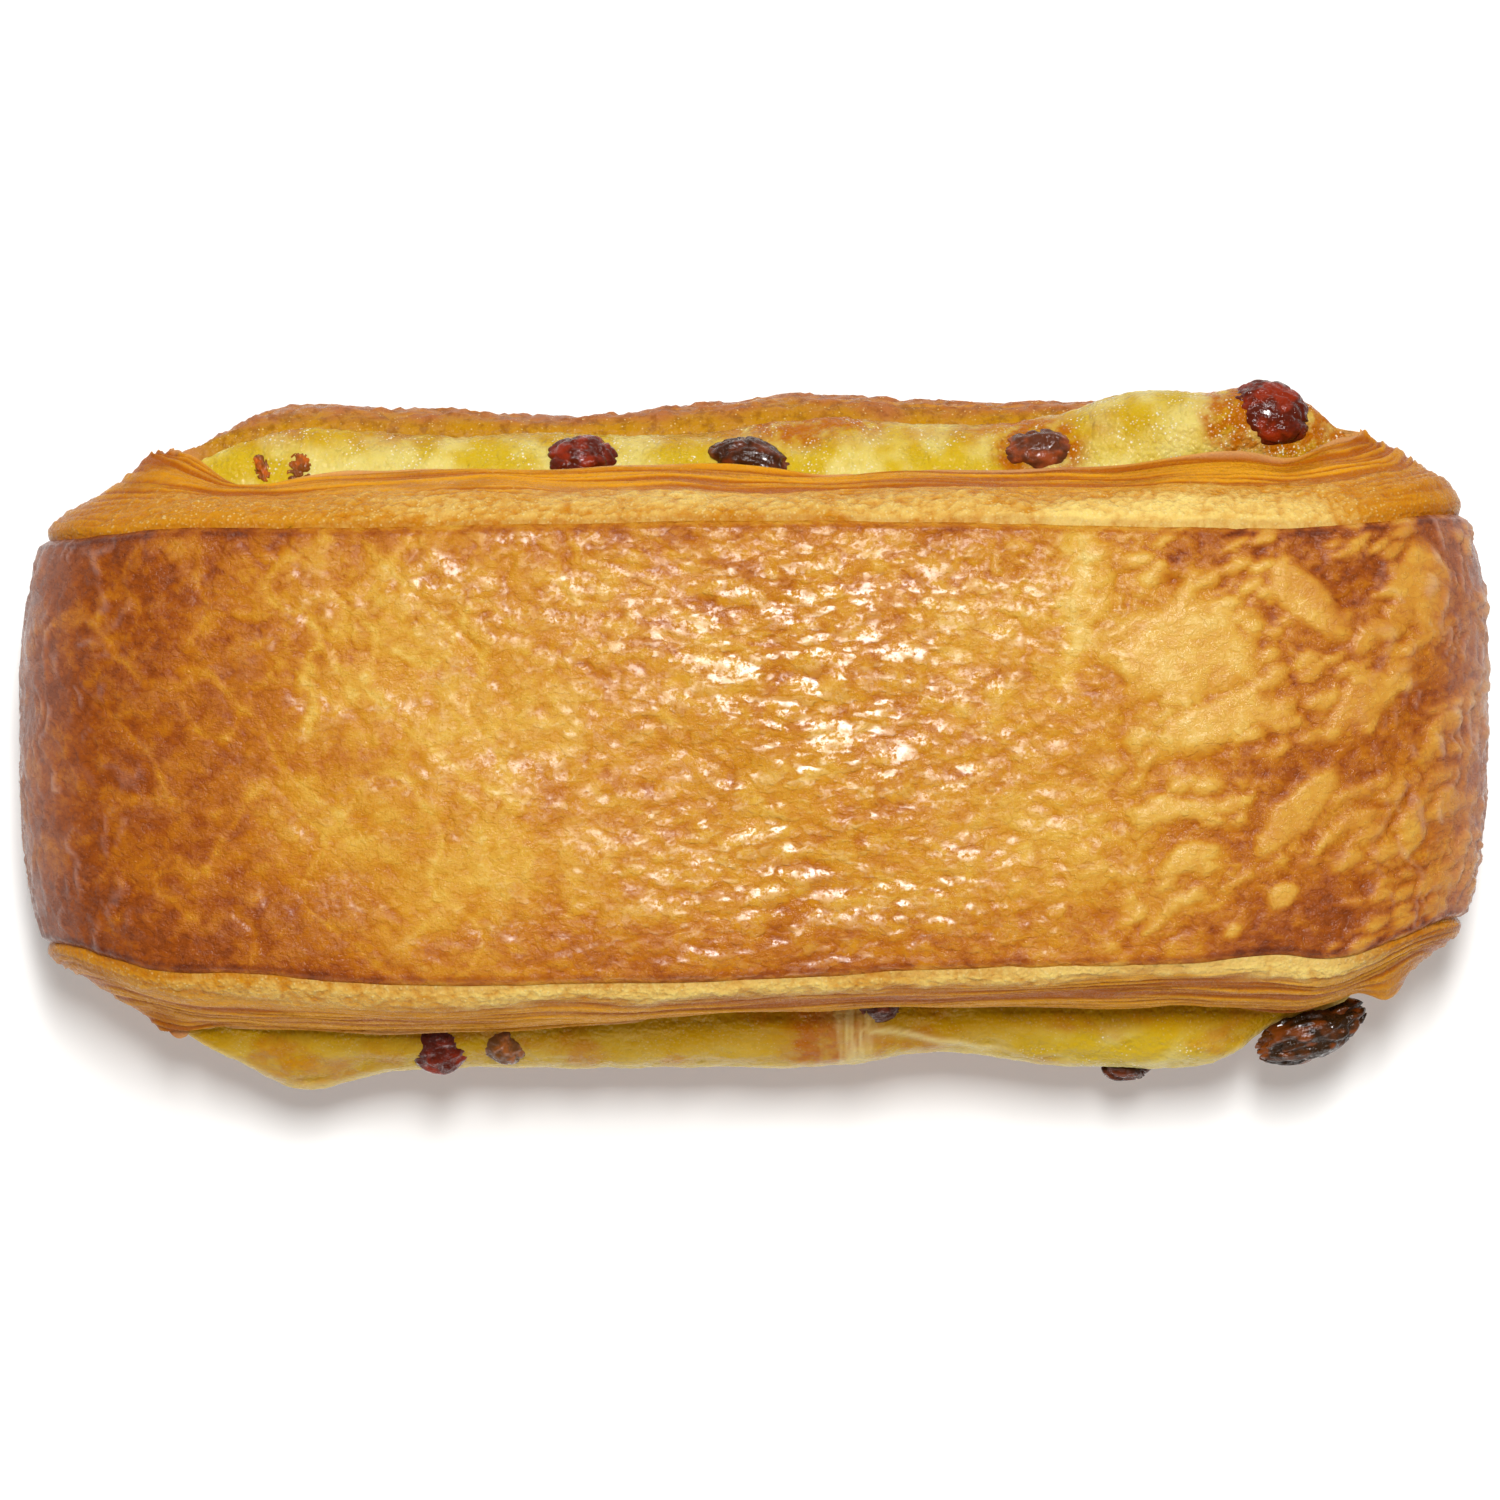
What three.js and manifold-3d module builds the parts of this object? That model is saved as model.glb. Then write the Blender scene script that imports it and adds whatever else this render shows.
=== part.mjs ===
// Pain suisse: a strip of laminated dough folded over custard and raisins, then baked.
//
// Millimetres, +Z up, +X along the length. The folds are at the two ends, and the cut edges
// of the layers face +Y (far side) and -Y (near side), where the custard shows. The pastry
// rests on z = 0 with its outline centred on the origin.

import * as THREE from 'three';
import { mergeVertices } from 'three/addons/utils/BufferGeometryUtils.js';
import Module from 'manifold-3d';

// Driving dimensions.
const LENGTH = 152;
const HEIGHT = 37.5;
const BELT_Z = 13; // height of the widest line round the folded ends
const BASE_SINK = 0.5; // how much of the round underside the baking tray flattened
const LEFT_ROUND = 3.4; // superellipse powers: the left fold is rounder than the right one
const RIGHT_ROUND = 4.2;
const BASE_ROUND = 4.5;

// The pocket between the two slabs, a long lens.
const POCKET_Z = 19;
const POCKET_HALF_HEIGHT = 4.5;
const POCKET_LEFT = 60;
const POCKET_RIGHT = 63;
const POCKET_TAPER = 6; // how late the pocket's ends lag behind the outer loop

// Glazed band: where its edges run, as y over the top slab, round the ends and underneath.
const FAR_EDGE = { top: 21.4, left: 20, right: 22.6, base: 30 };
const NEAR_EDGE = { top: -24.6, left: -21.3, right: -18.6, base: -28.8 };
const NEAR_EDGE_SLANT = 0.022;

// Mouth of the pocket: how far out the innermost layer reaches.
const FAR_MOUTH = { top: 27.7, left: 29.6, right: 32.6, base: 31 };
const NEAR_MOUTH = { top: -28.6, left: -30.6, right: -27.6, base: -30.4 };
const FAR_RIM = 4.3; // the lower slab's rim stands out beyond the band on the far side
const NEAR_RIM = 1.2;
const RIM_POWER = 2.6;

// Heights and distances from the middle between which one zone of the strip gives way to the
// next: the top slab, the underside, and the folded ends that the edge tables hold values for.
const TOP_ZONE = { up: [14, 30], out: [50, 72] };
const BASE_ZONE = { up: [2, 12], out: [46, 72] };
const EDGE_RISE = [6, 26];
const END_ZONE = { base: 44, top: 56, full: 75 };

// Swells along an edge: where its middle is, how wide it is, and how far it moves the edge in y.
const NEAR_EDGE_SWELLS = [
  { x: -55, width: 11, by: 1.5 },
  { x: 20, width: 14, by: 0.4 },
  { x: 56, width: 8, by: 1 },
];
const FAR_MOUTH_SWELLS = [
  { x: -54, width: 15, by: -1.7 },
  { x: 6, width: 8, by: -1 },
  { x: 54, width: 12, by: 1.5 },
];
const NEAR_MOUTH_SWELLS = [
  { x: -36, width: 26, by: -1.7 },
  { x: 28, width: 34, by: 1.1 },
];
const FAR_RIM_SWELLS = [{ x: -22, width: 11, by: -1.6 }];

// Torn tips of the layers at the corners: also how deep in the layers they are.
const FAR_TEARS = [
  { x: 70, width: 3, by: 0.8, depth: 0.72, thick: 0.12 },
  { x: -63, width: 3, by: 1.4, depth: 0.15, thick: 0.12 },
];
const NEAR_TEARS = [
  { x: 65.5, width: 2.5, by: 2.6, depth: 0.3, thick: 0.2 },
  { x: -59, width: 4, by: 0.7, depth: 0.1, thick: 0.14 },
];
const TORN_RISE = [10, 20];
// The lower slab draws back under the burnt raisin at the near corner.
const RAISIN_SEAT = { x: 59, width: 6, by: 2.4, depth: 0, thick: 0.5 };

const CROWN_TOP = 0.9; // how much the glazed band falls away at its two edges
const CROWN_END = 2.4;
const CROWN_POWER = 3.6;
const CROWN_ENDS = [60, 75];
const SKIN_POWER = 6; // how closely the skin's own relief stays to the outermost layer
const WRINKLE = 0.36;
const LAYER_STEP = 0.35;
const LAYER_COUNT = 9;

// Custard.
const GAP = 0.35;
const CUSTARD_FAR = 32;
const CUSTARD_NEAR = 34.5;
const CUSTARD_INSET = 0.8; // how far short of the pocket's two points it stops
const CUSTARD_RIND = 1.6; // height of the custard's own widest line above its underside
const CUSTARD_SQUARE = 3; // how square its two mouths fill the slot
const CUSTARD_SLANT = 0.02;
const CUSTARD_FAR_SWELLS = [
  { x: 42, width: 9, by: 3.6 },
  { x: 54.5, width: 6, by: 3 },
];
const CUSTARD_NEAR_SWELLS = [
  { x: -46, width: 7, by: 2.1 },
  { x: 20, width: 8, by: -1.7 },
];
const CUSTARD_NEAR_END = { from: 46, to: 55, by: 4 }; // it draws back before the burnt raisin
const CUSTARD_LUMP = { x: 46, width: 10, by: 2.2 }; // it stands up above the slot there
const CUSTARD_SAG = { far: { from: 35.8, to: 38, by: 1.5 }, near: { from: 32.4, to: 37, by: 3.4 } };

// Resolution of the faceted solids.
const LOOP_STEPS = 108;
const BAND_STEPS = 12;
const CUT_STEPS = 11;
const POCKET_STEPS = 4;
const CUSTARD_RINGS = 50;
const CUSTARD_SIDES = 18;
const RAISIN_RINGS = 7;
const RAISIN_SIDES = 10;

const { lerp, smoothstep } = THREE.MathUtils;

const signedPower = (value, power) => Math.sign(value) * Math.abs(value) ** power;
const bell = (value, middle, width) => Math.exp(-(((value - middle) / width) ** 2));
const ramp = (value, [from, to]) => smoothstep(value, from, to);
const swellAt = (swells, x) => swells.reduce((sum, { x: at, width, by }) => sum + by * bell(x, at, width), 0);
const tearAt = (tears, x, d) =>
  tears.reduce((sum, { depth, thick, ...swell }) => sum + swellAt([swell], x) * bell(d, depth, thick), 0);

// ---------------------------------------------------------------------------------------
// Dough: one strip closed into a loop, so its surface is a torus. `outer` runs round the
// loop in XZ, and d goes through the layers from the pocket (0) to the glazed skin (1).

class OuterLoop extends THREE.Curve {
  getPoint(t, target = new THREE.Vector3()) {
    const angle = 2 * Math.PI * t - Math.PI / 2;
    const across = Math.cos(angle);
    const up = Math.sin(angle);
    const topRound = across < 0 ? LEFT_ROUND : RIGHT_ROUND;
    const power = 2 / (up > 0 ? topRound : BASE_ROUND);
    const rise = up > 0 ? HEIGHT - BELT_Z : BELT_Z + BASE_SINK;
    const x = (LENGTH / 2) * signedPower(across, power);
    const z = BELT_Z + rise * signedPower(up, power);
    return target.set(x, 0, Math.max(z, 0));
  }
}

function pocketHalfHeight(x) {
  const end = x < 0 ? POCKET_LEFT : POCKET_RIGHT;
  const along = Math.min(Math.abs(x) / end, 1);
  return POCKET_HALF_HEIGHT * (1 - along ** 3.2) ** 0.6;
}

function innerPoint(outer) {
  const end = outer.x < 0 ? POCKET_LEFT : POCKET_RIGHT;
  const half = LENGTH / 2;
  const lag = ((half / end) ** POCKET_TAPER - 1) ** (-1 / POCKET_TAPER) * half;
  const x = outer.x / (1 + (Math.abs(outer.x) / lag) ** POCKET_TAPER) ** (1 / POCKET_TAPER);
  const side = outer.z > BELT_Z ? 1 : -1;
  return new THREE.Vector3(x, 0, POCKET_Z + side * pocketHalfHeight(x));
}

// One of the edge tables above, read at a place round the loop.
function edgeAt(table, outer) {
  const up = ramp(outer.z, EDGE_RISE);
  const span = lerp(table.base, table.top, up);
  const end = outer.x < 0 ? table.left : table.right;
  return lerp(span, end, smoothstep(Math.abs(outer.x), lerp(END_ZONE.base, END_ZONE.top, up), END_ZONE.full));
}

function topWeight(outer) {
  return ramp(outer.z, TOP_ZONE.up) * (1 - ramp(Math.abs(outer.x), TOP_ZONE.out));
}

function baseWeight(outer) {
  return (1 - ramp(outer.z, BASE_ZONE.up)) * (1 - ramp(Math.abs(outer.x), BASE_ZONE.out));
}

function rimRound(d) {
  return (1 - Math.abs(2 * d - 1) ** RIM_POWER) ** (1 / RIM_POWER);
}

function layers(phase, d) {
  return LAYER_STEP * Math.sin(LAYER_COUNT * Math.PI * d + phase) * 4 * d * (1 - d);
}

// The cut faces: y of the far and of the near side at depth d, where the strip passes x.
function farY(outer, x, d) {
  const top = topWeight(outer);
  const base = baseWeight(outer);
  const edge = edgeAt(FAR_EDGE, outer) + top * 0.35 * Math.sin(x / 17 + 1.4);
  const mouth = edgeAt(FAR_MOUTH, outer) + top * swellAt(FAR_MOUTH_SWELLS, x);
  const rimWave = 0.4 * Math.sin(x / 13 + 0.9) + 0.3 * Math.sin(x / 5.1) + swellAt(FAR_RIM_SWELLS, x);
  const rim = base * (FAR_RIM + rimWave) * rimRound(d);
  const torn = tearAt(FAR_TEARS, x, d) * ramp(outer.z, TORN_RISE);
  return lerp(mouth, edge, d) + rim + layers(x / 23, d) * (1 - base) + torn;
}

function nearY(outer, x, d) {
  const top = topWeight(outer);
  const base = baseWeight(outer);
  const slant = NEAR_EDGE_SLANT * x + 0.3 * Math.sin(x / 19 - 1) + swellAt(NEAR_EDGE_SWELLS, x);
  const edge = edgeAt(NEAR_EDGE, outer) + top * slant;
  const mouth = edgeAt(NEAR_MOUTH, outer) + top * swellAt(NEAR_MOUTH_SWELLS, x);
  const rim = base * NEAR_RIM * rimRound(d);
  const torn = tearAt(NEAR_TEARS, x, d) * ramp(outer.z, TORN_RISE);
  const seat = tearAt([RAISIN_SEAT], x, d) * (1 - smoothstep(outer.z, 14, 24));
  return lerp(mouth, edge, d) - rim - layers(-x / 21, d) * (1 - base) - torn + seat;
}

// Blisters and wrinkles of the glazed band, as a height over it. s is the distance round
// the loop. The underside lay on the tray and stays flat.
function wrinkle(s, y, outer) {
  const coarse = Math.sin(s / 5.3 + 1.7 * Math.sin(y / 6.1)) * Math.sin(y / 4.7 + Math.sin(s / 8.3));
  const fine = Math.sin(s / 2.9 - y / 3.7 + 1.3 * Math.sin(y / 5 + s / 11));
  return WRINKLE * (coarse + 0.6 * fine) * smoothstep(outer.z, 3, 10);
}

// The closed outline of one slice through the strip, as [d, side], with side from
// -1 (near) to 1 (far): glazed skin, far cut, pocket face, near cut.
function sliceOutline() {
  const outline = [];
  for (let i = 0; i < BAND_STEPS; i += 1) outline.push([1, -1 + (2 * i) / BAND_STEPS]);
  for (let i = 0; i < CUT_STEPS; i += 1) outline.push([1 - i / CUT_STEPS, 1]);
  for (let i = 0; i < POCKET_STEPS; i += 1) outline.push([0, 1 - (2 * i) / POCKET_STEPS]);
  for (let i = 0; i < CUT_STEPS; i += 1) outline.push([i / CUT_STEPS, -1]);
  return outline;
}

function doughGeometry() {
  const loop = new OuterLoop();
  loop.arcLengthDivisions = 4000;
  const outers = loop.getSpacedPoints(LOOP_STEPS);
  const around = loop.getLength() / LOOP_STEPS;
  const outline = sliceOutline();
  const positions = [];
  for (let i = 0; i < LOOP_STEPS; i += 1) {
    const outer = outers[i];
    const inner = innerPoint(outer);
    const before = outers[(i + LOOP_STEPS - 1) % LOOP_STEPS];
    const tangent = outers[i + 1].clone().sub(before).normalize();
    const outward = new THREE.Vector3(-tangent.z, 0, tangent.x).multiplyScalar(-1);
    const crown = lerp(CROWN_TOP, CROWN_END, ramp(Math.abs(outer.x), CROWN_ENDS)) * smoothstep(outer.z, 1, 8);
    for (const [d, side] of outline) {
      const x = lerp(inner.x, outer.x, d);
      const y = lerp(nearY(outer, x, d), farY(outer, x, d), (side + 1) / 2);
      const relief = wrinkle(i * around, y, outer) * (1 - side ** 6) - crown * Math.abs(side) ** CROWN_POWER;
      const lift = d ** SKIN_POWER * relief;
      const point = inner.clone().lerp(outer, d).addScaledVector(outward, lift);
      positions.push(point.x, y, Math.max(point.z, 0));
    }
  }
  return gridGeometry(positions, LOOP_STEPS, outline.length);
}

// A closed grid, joined up both ways round.
function gridGeometry(positions, rows, columns) {
  const index = [];
  for (let i = 0; i < rows; i += 1) {
    for (let j = 0; j < columns; j += 1) {
      const nextRow = ((i + 1) % rows) * columns;
      const nextColumn = (j + 1) % columns;
      const a = i * columns + j;
      const b = i * columns + nextColumn;
      const c = nextRow + nextColumn;
      const e = nextRow + j;
      index.push(a, b, c, a, c, e);
    }
  }
  const geometry = new THREE.BufferGeometry();
  geometry.setAttribute('position', new THREE.Float32BufferAttribute(positions, 3));
  geometry.setIndex(index);
  return geometry;
}

// ---------------------------------------------------------------------------------------
// Raisins: each a wrinkled ellipsoid, [x, y, z] of its middle, half sizes along its length,
// width and height, and its turn about Z in degrees.

const RAISINS = {
  raisin_far_left: { at: [-46.9, 27.1, 19.5], half: [1.5, 2.1, 1.6], turn: 0 },
  raisin_far_sliver: { at: [-50.6, 27.1, 19.4], half: [0.9, 1.9, 1.3], turn: 20 },
  raisin_far_red: { at: [-17.9, 27.4, 19.3], half: [3.8, 3.4, 2.9], turn: 0 },
  raisin_far_dark: { at: [0.3, 27.6, 19.5], half: [4.9, 2.9, 2.9], turn: -24 },
  raisin_far_sunk: { at: [29.7, 29.0, 19.2], half: [3.6, 2.6, 2.5], turn: 8 },
  raisin_far_burnt: { at: [53.4, 33.0, 19.6], half: [4.2, 3.4, 2.8], turn: -12 },
  raisin_near_red: { at: [-32.3, -32.2, 18.0], half: [3.0, 3.3, 2.7], turn: 0 },
  raisin_near_brown: { at: [-26.4, -31.6, 18.7], half: [2.3, 3.3, 2.3], turn: 12 },
  raisin_near_middle: { at: [12.8, -27.6, 20.3], half: [2.9, 1.9, 2.1], turn: 4 },
  raisin_near_low: { at: [38.9, -34.0, 13.3], half: [2.6, 1.9, 1.9], turn: 0 },
  raisin_near_burnt: { at: [58.0, -30.6, 16.4], half: [5.5, 2.9, 2.8], turn: 20 },
};

function raisinGeometry({ at, half, turn }, grow = 0) {
  const geometry = new THREE.SphereGeometry(1, RAISIN_SIDES, RAISIN_RINGS);
  const position = geometry.getAttribute('position');
  const point = new THREE.Vector3();
  for (let i = 0; i < position.count; i += 1) {
    point.fromBufferAttribute(position, i);
    const folds = Math.sin(3 * point.x + 5 * point.y + at[0]) * Math.sin(4 * point.z - 2 * point.y + at[1]);
    point.multiplyScalar(1 + 0.07 * folds);
    position.setXYZ(i, point.x, point.y, point.z);
  }
  geometry.scale(half[0] + grow, half[1] + grow, half[2] + grow);
  geometry.rotateZ(THREE.MathUtils.degToRad(turn));
  geometry.translate(...at);
  return geometry;
}

// ---------------------------------------------------------------------------------------
// Custard: fills the pocket from end to end and swells out at both mouths.

function custardFar(x) {
  const waves = 0.5 * Math.sin(x / 9 + 0.4) + 0.3 * Math.sin(x / 4.3);
  return CUSTARD_FAR + CUSTARD_SLANT * x + waves + swellAt(CUSTARD_FAR_SWELLS, x);
}

function custardNear(x) {
  const { from, to, by } = CUSTARD_NEAR_END;
  return -(CUSTARD_NEAR + swellAt(CUSTARD_NEAR_SWELLS, x) - by * smoothstep(x, from, to));
}

function custardGeometry() {
  const geometry = new THREE.SphereGeometry(1, CUSTARD_SIDES, CUSTARD_RINGS);
  const position = geometry.getAttribute('position');
  const left = -POCKET_LEFT + CUSTARD_INSET;
  const right = POCKET_RIGHT - CUSTARD_INSET;
  for (let i = 0; i < position.count; i += 1) {
    const ring = Math.floor(i / (CUSTARD_SIDES + 1)) / CUSTARD_RINGS;
    const column = (i % (CUSTARD_SIDES + 1)) % CUSTARD_SIDES;
    const turn = (-2 * Math.PI * column) / CUSTARD_SIDES;
    const x = lerp(left, right, ring);
    const ends = Math.min(1, (ring * (1 - ring) * 12) ** 0.5);
    const half = Math.max(pocketHalfHeight(x) - GAP, 0) * (ring === 0 || ring === 1 ? 0 : 1);
    const out = Math.cos(turn);
    const up = Math.sin(turn);
    const reach = (out > 0 ? custardFar(x) : -custardNear(x)) * lerp(0.86, 1, ends);
    const y = reach * signedPower(out, 1 / CUSTARD_SQUARE) * (half > 0 ? 1 : 0);
    const floor = POCKET_Z - half;
    const belt = Math.min(CUSTARD_RIND, half * 0.5);
    const rise = up > 0 ? (2 * half - belt) * up ** 1.25 : -belt * Math.abs(up) ** (1 / CUSTARD_SQUARE);
    const lump = y > 0 ? swellAt([CUSTARD_LUMP], x) * smoothstep(y, 27, 33) * smoothstep(up, -0.2, 0.6) : 0;
    const { from, to, by } = y > 0 ? CUSTARD_SAG.far : CUSTARD_SAG.near;
    position.setXYZ(i, x, y, floor + belt + rise + lump - by * smoothstep(Math.abs(y), from, to));
  }
  return geometry;
}

// ---------------------------------------------------------------------------------------
// Solids

const wasm = await Module();
wasm.setup();

function closedMesh(geometry) {
  geometry.deleteAttribute('normal');
  geometry.deleteAttribute('uv');
  return mergeVertices(geometry, 1e-4);
}

function toManifold(geometry) {
  const closed = closedMesh(geometry);
  const vertProperties = new Float32Array(closed.getAttribute('position').array);
  const triVerts = new Uint32Array(closed.getIndex().array);
  return new wasm.Manifold(new wasm.Mesh({ numProp: 3, vertProperties, triVerts }));
}

function fromManifold(solid) {
  const { vertProperties, triVerts } = solid.getMesh();
  const geometry = new THREE.BufferGeometry();
  geometry.setAttribute('position', new THREE.BufferAttribute(vertProperties, 3));
  geometry.setIndex(new THREE.BufferAttribute(triVerts, 1));
  return geometry;
}

function addPiece(group, name, geometry, material) {
  const mesh = new THREE.Mesh(geometry, material);
  mesh.name = name;
  geometry.computeVertexNormals();
  group.add(mesh);
}

const pastry = new THREE.Group();
pastry.name = 'pain_suisse';

addPiece(pastry, 'dough', doughGeometry(), new THREE.MeshStandardMaterial({
  color: 0xcf8b35,
  roughness: 0.35,
  metalness: 0,
}));

let custard = toManifold(custardGeometry());
for (const raisin of Object.values(RAISINS)) {
  custard = custard.subtract(toManifold(raisinGeometry(raisin, GAP)));
}
addPiece(pastry, 'custard', fromManifold(custard), new THREE.MeshStandardMaterial({
  color: 0xd6b04a,
  roughness: 0.3,
  metalness: 0,
}));

for (const [name, raisin] of Object.entries(RAISINS)) {
  addPiece(pastry, name, closedMesh(raisinGeometry(raisin)), new THREE.MeshStandardMaterial({
    color: 0x5a2416,
    roughness: 0.3,
    metalness: 0,
  }));
}

export default pastry;
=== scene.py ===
# A pain suisse: laminated dough folded over custard and raisins, glazed and baked.
# Shapes are worked out in millimetres and placed in metres. +X runs along the length, +Y to
# the far cut side, +Z up.

import math

import bpy
import numpy as np
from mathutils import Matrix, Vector


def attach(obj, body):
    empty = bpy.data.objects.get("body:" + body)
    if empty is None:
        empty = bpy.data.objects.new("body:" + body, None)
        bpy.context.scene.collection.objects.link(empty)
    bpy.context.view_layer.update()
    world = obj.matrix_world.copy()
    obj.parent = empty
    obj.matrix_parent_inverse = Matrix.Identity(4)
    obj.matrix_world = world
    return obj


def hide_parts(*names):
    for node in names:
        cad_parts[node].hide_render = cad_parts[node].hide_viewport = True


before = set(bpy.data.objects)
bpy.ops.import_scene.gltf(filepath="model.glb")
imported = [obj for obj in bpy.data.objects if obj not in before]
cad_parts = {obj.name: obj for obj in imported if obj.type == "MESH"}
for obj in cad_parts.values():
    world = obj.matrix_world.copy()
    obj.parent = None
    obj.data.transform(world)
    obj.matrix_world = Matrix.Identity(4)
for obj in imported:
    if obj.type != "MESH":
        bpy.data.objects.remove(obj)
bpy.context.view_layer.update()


# ------------------------------------------------------------------ the strip of dough
# One strip of laminated dough, folded at both ends and closed into a flat loop. Knife cuts
# along the two long sides left the layers open, pale and puffed just under the skin, and
# pressed into fine brown leaves next to the filling.

MM = 0.001
LENGTH = 152
HEIGHT = 37.5
BELT_Z = 13
BASE_SINK = 0.5
LEFT_ROUND = 3.4
RIGHT_ROUND = 4.2
BASE_ROUND = 4.5
POCKET_Z = 19
POCKET_HALF_HEIGHT = 4.5
POCKET_LEFT = 60
POCKET_RIGHT = 63
POCKET_TAPER = 6
POCKET_LENS = 3.2
POCKET_POINT = 0.6
FAR_EDGE = {"top": 21.4, "left": 20, "right": 22.6, "base": 30}
NEAR_EDGE = {"top": -24.6, "left": -21.3, "right": -18.6, "base": -28.8}
FAR_MOUTH = {"top": 27.7, "left": 29.6, "right": 32.6, "base": 31}
NEAR_MOUTH = {"top": -28.6, "left": -30.6, "right": -27.6, "base": -30.4}
NEAR_EDGE_SLANT = 0.022
FAR_RIM = 4.3
NEAR_RIM = 1.2
RIM_POWER = 2.6
# Heights, and distances from the middle, between which one zone of the strip gives way to the
# next: the top slab, the underside, and the folded ends that the edge tables hold values for.
TOP_ZONE = {"up": (14, 30), "out": (50, 72)}
BASE_ZONE = {"up": (2, 12), "out": (46, 72)}
EDGE_RISE = (6, 26)
END_ZONE = {"base": 44, "top": 56, "full": 75}
# Swells along an edge: their middle, their width, and how far they move the edge in y.
NEAR_EDGE_SWELLS = ((-55, 11, 1.5), (20, 14, 0.4), (56, 8, 1))
FAR_MOUTH_SWELLS = ((-54, 15, -1.7), (6, 8, -1), (54, 12, 1.5))
NEAR_MOUTH_SWELLS = ((-36, 26, -1.7), (28, 34, 1.1))
FAR_RIM_SWELLS = ((-22, 11, -1.6),)
# Torn tips of the layers: the same three, then how deep in the layers and how thick they are.
FAR_TEARS = ((70, 3, 0.8, 0.72, 0.12), (-63, 3, 1.4, 0.15, 0.12))
NEAR_TEARS = ((65.5, 2.5, 2.6, 0.3, 0.2), (-59, 4, 0.7, 0.1, 0.14))
TORN_RISE = (10, 20)
# The lower slab draws back under the burnt raisin at the near corner.
RAISIN_SEAT = (59, 6, 2.4, 0, 0.5)
SEAT_RISE = (14, 24)
CROWN_TOP = 0.9
CROWN_END = 2.4
CROWN_POWER = 3.6
CROWN_RISE = (1, 8)
CROWN_ENDS = (60, 75)


def mix(a, b, t):
    return a + (b - a) * t


def smooth(value, low, high):
    t = np.clip((value - low) / (high - low), 0, 1)
    return t * t * (3 - 2 * t)


def bell(value, middle, width):
    return np.exp(-(((value - middle) / width) ** 2))


def swell_at(swells, x):
    return sum(by * bell(x, middle, width) for middle, width, by in swells)


def tear_at(tears, x, d):
    return sum(swell_at([swell], x) * bell(d, depth, thick) for *swell, depth, thick in tears)


def signed_power(value, power):
    return np.sign(value) * np.abs(value) ** power


def speck(i, j, k, seed):
    """A fixed random number from 0 to 1 for each corner of a lattice."""
    n = (i * 73856093) ^ (j * 19349663) ^ (k * 83492791) ^ (seed * 83492807)
    n = ((n ^ (n >> 13)) * 1274126177) & 0xFFFFFFFF
    n = ((n ^ (n >> 15)) * 2246822519) & 0xFFFFFFFF
    return ((n >> 8) & 0xFFFF) / 65535


def noise(x, y, z=0.0, seed=0):
    """Smooth noise from -1 to 1 with a wavelength of about two units. Its lattice is turned,
    so that it doesn't line up with the cuts."""
    x, y, z = np.broadcast_arrays(0.8 * x - 0.6 * y, 0.6 * x + 0.8 * y, z)
    i, j, k = (np.floor(v).astype(np.int64) for v in (x, y, z))
    u, v, w = (t * t * t * (t * (t * 6 - 15) + 10) for t in (x - i, y - j, z - k))
    planes = []
    for dk in (0, 1):
        low = mix(speck(i, j, k + dk, seed), speck(i + 1, j, k + dk, seed), u)
        high = mix(speck(i, j + 1, k + dk, seed), speck(i + 1, j + 1, k + dk, seed), u)
        planes.append(mix(low, high, v))
    return 2 * mix(planes[0], planes[1], w) - 1


def rough(x, y, z=0.0, seed=0, octaves=3):
    """Noise with finer noise on top, still from about -1 to 1."""
    total, size, weight = 0.0, 1.0, 0.0
    for octave in range(octaves):
        total = total + noise(x / size, y / size, np.asarray(z) / size, seed + 31 * octave) * size
        weight += size
        size *= 0.5
    return total / weight * 1.4


def bubbles(x, y, seed=0):
    """Distance to the nearest of scattered points, one to each square of a lattice."""
    i, j = np.floor(x).astype(np.int64), np.floor(y).astype(np.int64)
    nearest = np.full(np.shape(x), 9.0)
    for di in (-1, 0, 1):
        for dj in (-1, 0, 1):
            px = i + di + speck(i + di, j + dj, 0 * i, seed)
            py = j + dj + speck(i + di, j + dj, 0 * i + 1, seed)
            nearest = np.minimum(nearest, (px - x) ** 2 + (py - y) ** 2)
    return np.sqrt(nearest)


LOOP_SAMPLES = 40001
HIDDEN_BELOW = 1.2
TANGENT = 0.4


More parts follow.
